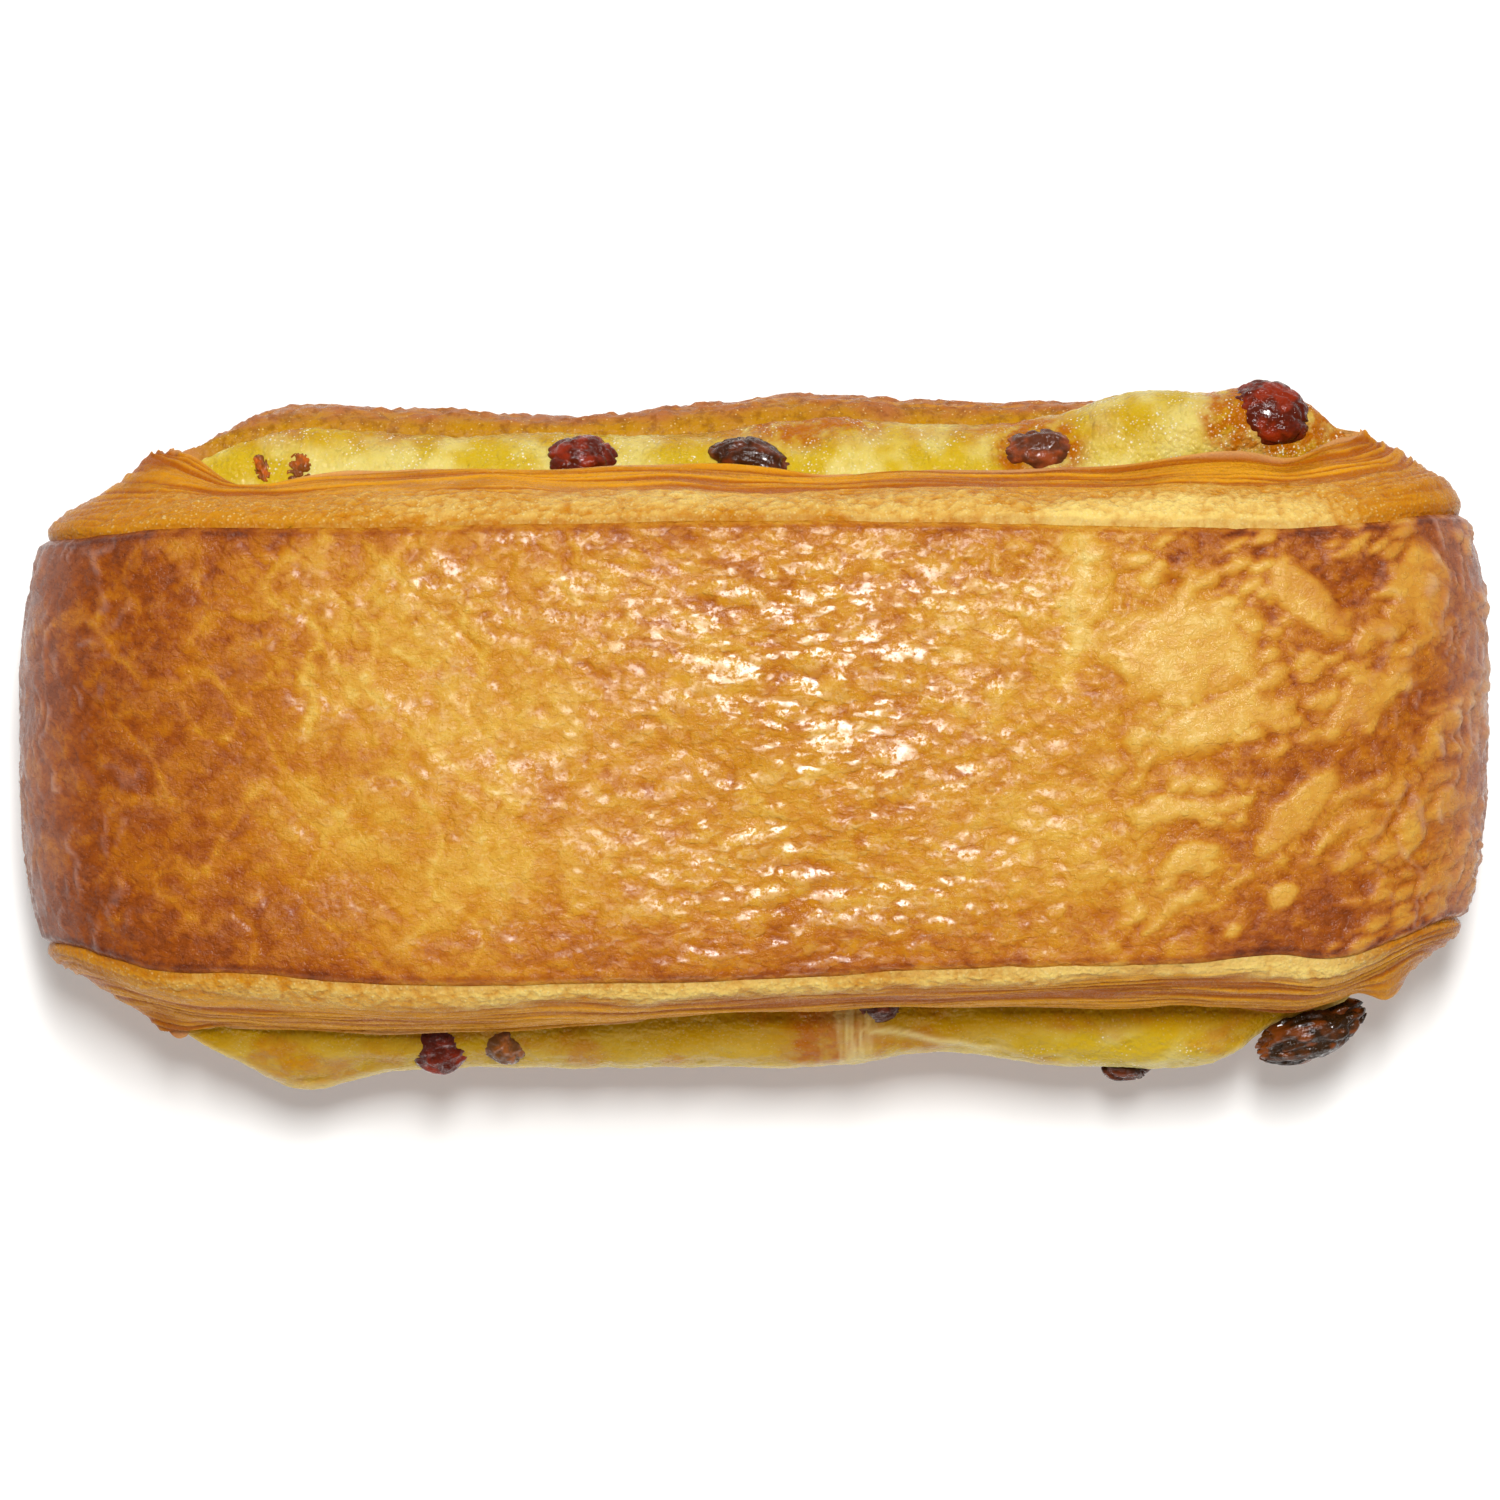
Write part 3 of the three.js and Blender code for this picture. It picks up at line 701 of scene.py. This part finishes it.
x = ox + lift * skin.out_x[:, None]
z = np.maximum(oz + lift * skin.out_z[:, None], sink * 0.15)
tone = facts["tone"] + 0.14 * bell(np.abs(side), 0.972, 0.014)
facts["tone"] = mix(BASE_TONE + 0.1 * noise(u / 6, y / 6, seed=6), tone, shown)
facts["glaze"] = facts["glaze"] * (1 - smooth(np.abs(side), 0.97, 0.995))
facts["middle"] = bell(u, 6, 30)
crust = closed_grid("crust", np.stack([x, y, z], -1), facts)

CRUST_TONES = (
    (0.0, (246, 212, 122)),
    (0.25, (230, 174, 62)),
    (0.45, (214, 143, 30)),
    (0.62, (194, 112, 16)),
    (0.8, (162, 78, 12)),
    (1.0, (112, 46, 12)),
)
# The colour of the painted sheen: the white room reflected in the glaze.
CRUST_PAINTED_SHEEN = (228, 200, 190)

finish = Finish("crust_finish")
tone, blister, hollow, glaze, dry, middle = (
    finish.fact(name) for name in ("tone", "blister", "hollow", "glaze", "dry", "middle"))
mottle = finish.grain(0.9, 3.0, 0.6)
grit = finish.grain(0.2, 3.0, 0.65)
crinkle = finish.grain(0.5, 3.0, 0.6, stretch=(0.75, 1, 1)) - 0.5
crack = finish.limit(crinkle * crinkle, 0.0, 0.006, 1.0, 0.0)
crimp = finish.grain(1.5, 3.0, 0.6, stretch=(0.45, 1, 1)) - 0.5
line = finish.limit(crimp * crimp, 0.0, 0.0045, 1.0, 0.0) * (middle * 0.8 + 0.2)
smooth_part = (1 - blister * 0.6) * (1 - hollow * 0.7)
baked = tone + (mottle - 0.5) * 0.3 + (0.5 - grit) * 0.2 * smooth_part + crack * 0.05 + line * 0.1
tint = finish.node("ShaderNodeValToRGB", {"stops": CRUST_TONES}, {"Fac": baked})
# Painted reflection: the lilac-white sheen laid over the baked colour.
tint = finish.blend(dry * 0.5, tint, CRUST_PAINTED_SHEEN)
crust.data.materials.append(finish.surface(
    Base_Color=tint,
    Roughness=finish.limit(mottle, 0.35, 0.65, 0.14, 0.26),
    Specular_IOR_Level=0.16,
    Coat_Weight=glaze * finish.limit(grit + crinkle, 0.36, 0.62) * (1 - line),
    Coat_Roughness=0.31,
    Normal=finish.bump(grit * smooth_part * 0.8 + crinkle * 0.6 - crack * 0.15 - line * 0.3, 0.26),
))
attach(crust, "root")
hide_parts("dough")


# ------------------------------------------------------------------ custard
# Pastry custard spread over the strip before it was folded. It fills the pocket, swells out
# at both mouths and set with a moist, bubbly skin that browned where it stood proud.

GAP = 0.35
CUSTARD_FAR = 32
CUSTARD_NEAR = 34.5
CUSTARD_SLANT = 0.02
CUSTARD_FAR_SWELLS = ((42, 9, 3.6), (54.5, 6, 3))
CUSTARD_NEAR_SWELLS = ((-46, 7, 2.1), (20, 8, -1.7))
# Where the near side draws back beside the burnt raisin, and how far.
CUSTARD_NEAR_END, CUSTARD_NEAR_END_BY = (46, 55), 4
CUSTARD_INSET = 0.8
CUSTARD_RIND = 1.6
CUSTARD_SQUARE = 3
CUSTARD_LUMP = (46, 10, 2.2)
# Between which distances from the middle line each side sags, and by how much.
CUSTARD_FAR_SAG, CUSTARD_FAR_SAG_BY = (35.8, 38), 1.5
CUSTARD_NEAR_SAG, CUSTARD_NEAR_SAG_BY = (32.4, 37), 3.4
CUSTARD_RINGS = 420
CUSTARD_SIDES = 150


def custard_far(x):
    """How far the custard reaches from the middle line to the far side."""
    waves = 0.5 * np.sin(x / 9 + 0.4) + 0.3 * np.sin(x / 4.3)
    return CUSTARD_FAR + CUSTARD_SLANT * x + waves + swell_at(CUSTARD_FAR_SWELLS, x)


def custard_near(x):
    """The same to the near side."""
    drawn_back = CUSTARD_NEAR_END_BY * smooth(x, *CUSTARD_NEAR_END)
    return CUSTARD_NEAR + swell_at(CUSTARD_NEAR_SWELLS, x) - drawn_back


def capped_tube(name, points, facts):
    """A piece from rings of places, its first and last ring closed by a fan."""
    rings, sides = points.shape[:2]
    corner = np.arange(rings * sides).reshape(rings, sides)
    turned = np.roll(corner, -1, 1)
    quads = np.stack([corner[:-1], turned[:-1], turned[1:], corner[1:]], -1).reshape(-1, 4)
    first, last = rings * sides, rings * sides + 1
    start = [(first, b, a) for a, b in zip(corner[0].tolist(), turned[0].tolist())]
    end = [(last, a, b) for a, b in zip(corner[-1].tolist(), turned[-1].tolist())]
    vertices = np.concatenate([points.reshape(-1, 3), points[[0, -1]].mean(1)])
    spread = {}
    for fact, values in facts.items():
        values = np.broadcast_to(values, (rings, sides))
        spread[fact] = np.concatenate([values.ravel(), [values[0].mean(), values[-1].mean()]])
    return new_piece(name, vertices, quads.tolist() + start + end, spread)


ring = np.linspace(0.002, 0.998, CUSTARD_RINGS)[:, None]
turn = np.linspace(0, -2 * np.pi, CUSTARD_SIDES + 1)[None, :-1]
x = mix(-POCKET_LEFT + CUSTARD_INSET, POCKET_RIGHT - CUSTARD_INSET, ring) + 0 * turn
ends = np.minimum(1, (ring * (1 - ring) * 12) ** 0.5)
half = np.maximum(pocket_half_height(x) - GAP, 0.05)
out, up = np.cos(turn), np.sin(turn)
reach = np.where(out > 0, custard_far(x), custard_near(x)) * mix(0.86, 1, ends)
y = reach * signed_power(out, 1 / CUSTARD_SQUARE)
far, near = y > 0, y < 0
belt = np.minimum(CUSTARD_RIND, half * 0.5)
above = (2 * half - belt) * np.abs(up) ** 1.25
below = -belt * np.abs(up) ** (1 / CUSTARD_SQUARE)
lump = far * swell_at([CUSTARD_LUMP], x) * smooth(y, 27, 33) * smooth(up, -0.2, 0.6)
far_sag = CUSTARD_FAR_SAG_BY * smooth(y, *CUSTARD_FAR_SAG)
near_sag = CUSTARD_NEAR_SAG_BY * smooth(-y, *CUSTARD_NEAR_SAG)
z = POCKET_Z - half + belt + np.where(up > 0, above, below) + lump
z = z - np.where(far, far_sag, near_sag)

# The bubbly skin of what swelled out.
outside = smooth(np.abs(y), 26, 28.5) * smooth(up, -0.6, 0.1)
froth = 0.5 - bubbles(x / 1.1, (y + z) / 1.1, seed=61)
fine_froth = 0.5 - bubbles(x / 0.55, (y + z) / 0.55, seed=62)
swell = 0.5 * rough(x / 5, (y + z) / 4, seed=63)
skin_height = swell + np.where(far, 0.3, 0.2) * froth + np.where(far, 0.16, 0.12) * fine_froth
y = y + outside * skin_height * np.sign(out) * 0.55
z = z + outside * skin_height * 0.8 * smooth(up, -0.2, 0.5)

# It browned along the far side apart from its lump, round the two raisins in it, and in
# patches along the near side.
browned = smooth(y, 28.6, 32.2) * (0.66 + 0.5 * rough(x / 6, y / 3, seed=64))
browned = browned * (1 - 0.85 * bell(x, 43, 9)) + 0.9 * bell(x, 4.5, 3.2) * smooth(y, 28.5, 31)
browned = browned + far * (1.3 * bell(x, 50, 2.4) * smooth(y, 32, 35) + 1.2 * bell(x, 59, 3))
from_burnt = np.hypot((x - 52.4) / 5.6, (y - 33) / 4.8)
from_sunk = np.hypot((x - 29.7) / 5.2, (y - 29) / 3.6)
halo = 1 - smooth(from_burnt, 0.8, 1.25 + 0.15 * noise(x / 1.5, y / 1.5, seed=71))
halo = np.maximum(halo, 1 - smooth(from_sunk, 0.6, 1.2))
browned = browned + far * halo * (0.95 + 0.5 * noise(x / 1.2, y / 1.2, seed=72))
patches = 0.6 * smooth(rough(x / 4.5, y / 2.5, seed=65), 0.0, 0.7) + 0.5 * bell(x, 8, 4)
patches = patches + 1.1 * bell(x, 6.4, 2.6) * (1 - smooth(-y, 33.4, 34.6))
browned = browned + near * patches

# The near side is darker and deeper yellow under the slab's edge: partly a moister colour, and
# partly painted shade where the slab above shades it. It lightens further out, and most on the
# bulge round x = 38, where light falls on it.
moist = smooth(-y, 25, 28) * (1 - 0.42 * smooth(-y, 29.5, 33.5 + 0.8 * noise(x / 4, 0, seed=66)))
moist = moist * (1 - 0.85 * bell(x, 38, 13) * smooth(-y, 29, 31.5))
# A dried skin that creased where the slab above pressed on it, and its torn edge running on.
pleats = bell(x, 10.6, 2.2) * (1 - np.abs(noise(x / 0.5 + y / 9, y / 5, seed=67)))
hem = bell(y + 30.4 + 0.16 * (x - 12), 0.3 * noise(x / 3, 0, seed=68), 0.35)
hem = hem * smooth(x, 9, 13) * (1 - smooth(x, 24, 28))
# The near side is also paler along its outermost edge.
dried = np.maximum(pleats, hem) + 0.9 * smooth(-y - 0.975 * reach, 0, 0.8) * bell(up, 0, 0.4)
z = z + near * (0.45 * pleats + 0.4 * hem) * outside
# Where the custard is wet: how much it bubbles, and how many white painted glints it gets in place
# of highlights. There are most on the far side and on the lit bulge of the near side round x = 38.
wet = np.where(far, 1, 0.22 + 0.5 * bell(x, 38, 11) * smooth(-y, 30, 32)) * outside
wet = wet * (0.35 + 0.65 * smooth(noise(x / 3.2, y / 1.7, seed=69), -0.4, 0.3))
custard = capped_tube("custard", np.stack([x, y, z], -1), {
    "browned": np.clip(browned, 0, 1), "moist": moist, "dried": np.clip(near * dried, 0, 1),
    "wet": wet,
})

CUSTARD_YELLOW = (220, 184, 34)
CUSTARD_PALE = (238, 218, 122)
CUSTARD_BROWN = (192, 108, 4)
# The colour of moist custard in painted shade.
CUSTARD_MOIST_SHADED = (202, 148, 0)
CUSTARD_DRIED = (244, 222, 150)
# The colour of the painted highlights on the wet custard.
CUSTARD_PAINTED_GLINT = (255, 252, 226)

finish = Finish("custard_finish")
browned, moist, dried, wet = (finish.fact(name) for name in ("browned", "moist", "dried", "wet"))
cloud = finish.grain(2.5, 2.0)
dimple = finish.cells(0.5)
pale = finish.limit(cloud, 0.4, 0.65) * (1 - moist * 0.8)
tint = finish.blend(pale, CUSTARD_YELLOW, CUSTARD_PALE)
# Painted shade and a moister colour on the near side, under the slab.
tint = finish.blend(moist, tint, CUSTARD_MOIST_SHADED)
browned = browned * finish.limit(finish.grain(0.8, 3.0), 0.3, 0.6, 0.4, 1.0)
tint = finish.blend(browned, tint, CUSTARD_BROWN)
tint = finish.blend(dried * 0.75, tint, CUSTARD_DRIED)
# Painted glints: white dots laid into the colour where light would catch the wet custard.
painted_glint = finish.limit(finish.cells(0.7), 0.22, 0.1) + finish.limit(finish.cells(0.4), 0.3, 0.12)
painted_glint = painted_glint * finish.limit(finish.grain(1.4, 2.0), 0.45, 0.6, 0.08, 1.0)
tint = finish.blend(painted_glint * finish.limit(wet, 0.2, 0.6, 0.1, 0.85), tint, CUSTARD_PAINTED_GLINT)
custard.data.materials.append(finish.surface(
    Base_Color=tint,
    Roughness=0.14,
    Specular_IOR_Level=0.09,
    Subsurface_Weight=0.3,
    Subsurface_Radius=(1.0, 0.8, 0.2),
    Subsurface_Scale=1.0 * MM,
    Normal=finish.bump(((1 - dimple) + finish.grain(0.25, 3.0)) * (wet * 0.6 + 0.4), 0.24),
))
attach(custard, "root")
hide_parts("custard")


# ------------------------------------------------------------------ raisins
# Whole raisins and bits of them, each a shrivelled bag of skin, swollen again and glossy from
# the custard. Those that stood proud in the oven burnt nearly black.

RED, DARK, BURNT = (92, 26, 6), (66, 30, 8), (54, 32, 12)
AMBER, TAWNY, SMEARED = (138, 70, 8), (118, 70, 24), (100, 50, 26)
# Middle, half sizes, turn about Z in degrees, skin colour, and how deeply it is shrivelled.
RAISINS = {
    "raisin_far_left": ((-46.9, 27.1, 19.5), (1.5, 2.1, 1.6), 0, AMBER, 2.2),
    "raisin_far_sliver": ((-50.6, 27.1, 19.4), (0.9, 1.9, 1.3), 20, AMBER, 2.2),
    "raisin_far_red": ((-17.9, 27.4, 19.3), (3.8, 3.4, 2.9), 0, RED, 1.0),
    "raisin_far_dark": ((0.3, 27.6, 19.5), (4.9, 2.9, 2.9), -24, DARK, 1.0),
    "raisin_far_sunk": ((29.7, 29.0, 19.2), (3.6, 2.6, 2.5), 8, SMEARED, 1.1),
    "raisin_far_burnt": ((53.4, 33.0, 19.6), (4.2, 3.4, 2.8), -12, RED, 0.8),
    "raisin_near_red": ((-32.3, -30.9, 18.0), (3.6, 3.9, 2.7), 180, RED, 0.8),
    "raisin_near_brown": ((-25.9, -30.3, 18.5), (2.7, 3.7, 2.3), 24, TAWNY, 1.0),
    "raisin_near_middle": ((12.8, -27.9, 20.3), (2.9, 1.9, 2.1), 4, SMEARED, 0.5),
    "raisin_near_low": ((38.9, -34.0, 13.3), (2.6, 1.9, 1.9), 0, DARK, 1.6),
    "raisin_near_burnt": ((58.0, -30.6, 16.4), (5.5, 2.9, 2.8), 20, BURNT, 1.4),
}
RAISIN_RINGS = 60
RAISIN_SIDES = 90
RAISIN_TIP = 0.05
RAISIN_GROWTH = 1.06
RAISIN_SYRUP = (146, 72, 18)
# The pulp under a worn skin: so many times as light as the skin, and this much more.
PULP_LIGHT = 1.35
PULP_GLOW = (26, 8, 0)


def raisin_finish(name, skin):
    finish = Finish(name)
    wrinkle = finish.grain(0.3, 3.0, 0.6)
    patch = finish.grain(1.0, 3.0)
    pulp = tuple(PULP_LIGHT * c + glow for c, glow in zip(skin, PULP_GLOW))
    tint = finish.blend(finish.limit(patch, 0.45, 0.66), skin, pulp)
    tint = finish.blend(finish.fact("syrup"), tint, RAISIN_SYRUP)
    return finish.surface(
        Base_Color=tint,
        Roughness=finish.limit(patch, 0.35, 0.65, 0.1, 0.2),
        Specular_IOR_Level=0.26,
        Coat_Weight=finish.limit(wrinkle, 0.47, 0.6, 0.0, 0.8),
        Coat_Roughness=0.1,
        Normal=finish.bump(wrinkle, 0.2),
    )


SKINS = (RED, DARK, BURNT, AMBER, TAWNY, SMEARED)
finishes = {
    skin: raisin_finish(f"raisin_finish_{number}", skin) for number, skin in enumerate(SKINS)}
# A round ball, its length along X, that each raisin is shrivelled from.
polar = np.linspace(RAISIN_TIP, np.pi - RAISIN_TIP, RAISIN_RINGS)[:, None]
turn = np.linspace(0, 2 * np.pi, RAISIN_SIDES + 1)[None, :-1]
px, py, pz = -np.cos(polar) + 0 * turn, np.sin(polar) * np.cos(turn), np.sin(polar) * np.sin(turn)
for number, (name, (middle, half, angle, skin, shrivel)) in enumerate(RAISINS.items()):
    warp = 0.3 * noise(px * 1.3, py * 1.3, pz * 1.3, seed=70 + number)
    folds = np.abs(noise(px * 1.2 + warp, py * 2.5 + warp, pz * 2.5 - warp, seed=90 + number))
    small = np.abs(noise(px * 2.8 + warp, py * 6, pz * 6 + warp, seed=110 + number))
    swell = 1.02 + 0.1 * noise(px * 1.1, py * 1.1, pz * 1.1, seed=130 + number)
    creases = 0.1 * (1 - smooth(folds, 0, 0.3)) + 0.045 * (1 - smooth(small, 0, 0.35))
    swell = (swell - shrivel * creases) * RAISIN_GROWTH
    cos, sin = math.cos(math.radians(angle)), math.sin(math.radians(angle))
    lx, ly, lz = px * swell * half[0], py * swell * half[1], pz * swell * half[2]
    points = np.stack([lx * cos - ly * sin, lx * sin + ly * cos, lz], -1) + middle
    # Syrup gathered under each raisin, and browned the burnt ones where they leant on the dough.
    syrup = smooth(-pz + 0.3 * warp, 0.05, 0.5)
    if skin == BURNT:
        ragged = 1.6 * noise(px * 4.5, py * 4.5, pz * 4.5, seed=150)
        syrup = smooth(py * 0.7 - px * 0.7 + ragged, 0.1, 0.8)
    raisin = capped_tube(name + "_skin", points, {"syrup": 0.8 * syrup})
    raisin.data.materials.append(finishes[skin])
    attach(raisin, "root")
    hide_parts(name)


# ------------------------------------------------------------------ table, light and camera
# A white table under a large soft light that stands a little behind the pastry, and a camera
# straight above it.

FLOOR_HALF = 3.0
corners = ((-1, -1), (1, -1), (1, 1), (-1, 1))
floor_corners = [(x * FLOOR_HALF, y * FLOOR_HALF, 0) for x, y in corners]
floor_mesh = bpy.data.meshes.new("table")
floor_mesh.from_pydata(floor_corners, [], [(0, 1, 2, 3)])
table = bpy.data.objects.new("table", floor_mesh)
bpy.context.scene.collection.objects.link(table)
finish = Finish("table_finish")
floor_mesh.materials.append(finish.surface(
    Base_Color=(0.8, 0.803, 0.79, 1),
    Roughness=0.9,
    Emission_Color=(1, 0.98, 0.95, 1),
    Emission_Strength=0.2,
))

world = bpy.data.worlds.new("studio")
bpy.context.scene.world = world
world.use_nodes = True
backdrop = world.node_tree.nodes["Background"]
backdrop.inputs["Color"].default_value = (1, 1, 1, 1)
# Paler walls than ceiling, so that the glaze isn't veiled where it faces the camera.
SKY_FROM, SKY_TO = 0.3, 1.0
WALL_LEVEL, CEILING_LEVEL = 0.32, 0.1
direction = world.node_tree.nodes.new("ShaderNodeTexCoord")
split = world.node_tree.nodes.new("ShaderNodeSeparateXYZ")
dimmer = world.node_tree.nodes.new("ShaderNodeMapRange")
dimmer.inputs["From Min"].default_value = SKY_FROM
dimmer.inputs["From Max"].default_value = SKY_TO
dimmer.inputs["To Min"].default_value = WALL_LEVEL
dimmer.inputs["To Max"].default_value = CEILING_LEVEL
world.node_tree.links.new(direction.outputs["Generated"], split.inputs[0])
world.node_tree.links.new(split.outputs[2], dimmer.inputs["Value"])
world.node_tree.links.new(dimmer.outputs[0], backdrop.inputs["Strength"])


def soft_light(name, place, aim, size, power):
    lamp = bpy.data.lights.new(name, "AREA")
    lamp.shape = "RECTANGLE"
    lamp.size, lamp.size_y = size
    lamp.energy = power
    light = bpy.data.objects.new(name, lamp)
    light.location = place
    light.rotation_euler = (Vector(aim) - Vector(place)).to_track_quat("-Z", "Y").to_euler()
    bpy.context.scene.collection.objects.link(light)


PASTRY_MIDDLE = (0, 0, 0.02)
soft_light("key", (0.04, 0.36, 1.2), PASTRY_MIDDLE, (0.18, 0.42), 17.5)
soft_light("front", (0, -1.0, 0.26), PASTRY_MIDDLE, (1.0, 0.3), 2.8)

CAMERA_HEIGHT = 0.9
CAMERA_X = -0.26 * MM
CAMERA_Y = -1.5 * MM
FOCAL_PIXELS = 8502
PHOTO_PIXELS = 1500
camera_data = bpy.data.cameras.new("camera")
camera_data.sensor_width = 36
camera_data.lens = camera_data.sensor_width * FOCAL_PIXELS / PHOTO_PIXELS
camera = bpy.data.objects.new("camera", camera_data)
camera.location = (CAMERA_X, CAMERA_Y, CAMERA_HEIGHT)
bpy.context.scene.collection.objects.link(camera)
bpy.context.scene.camera = camera
bpy.context.scene.view_settings.view_transform = "Standard"
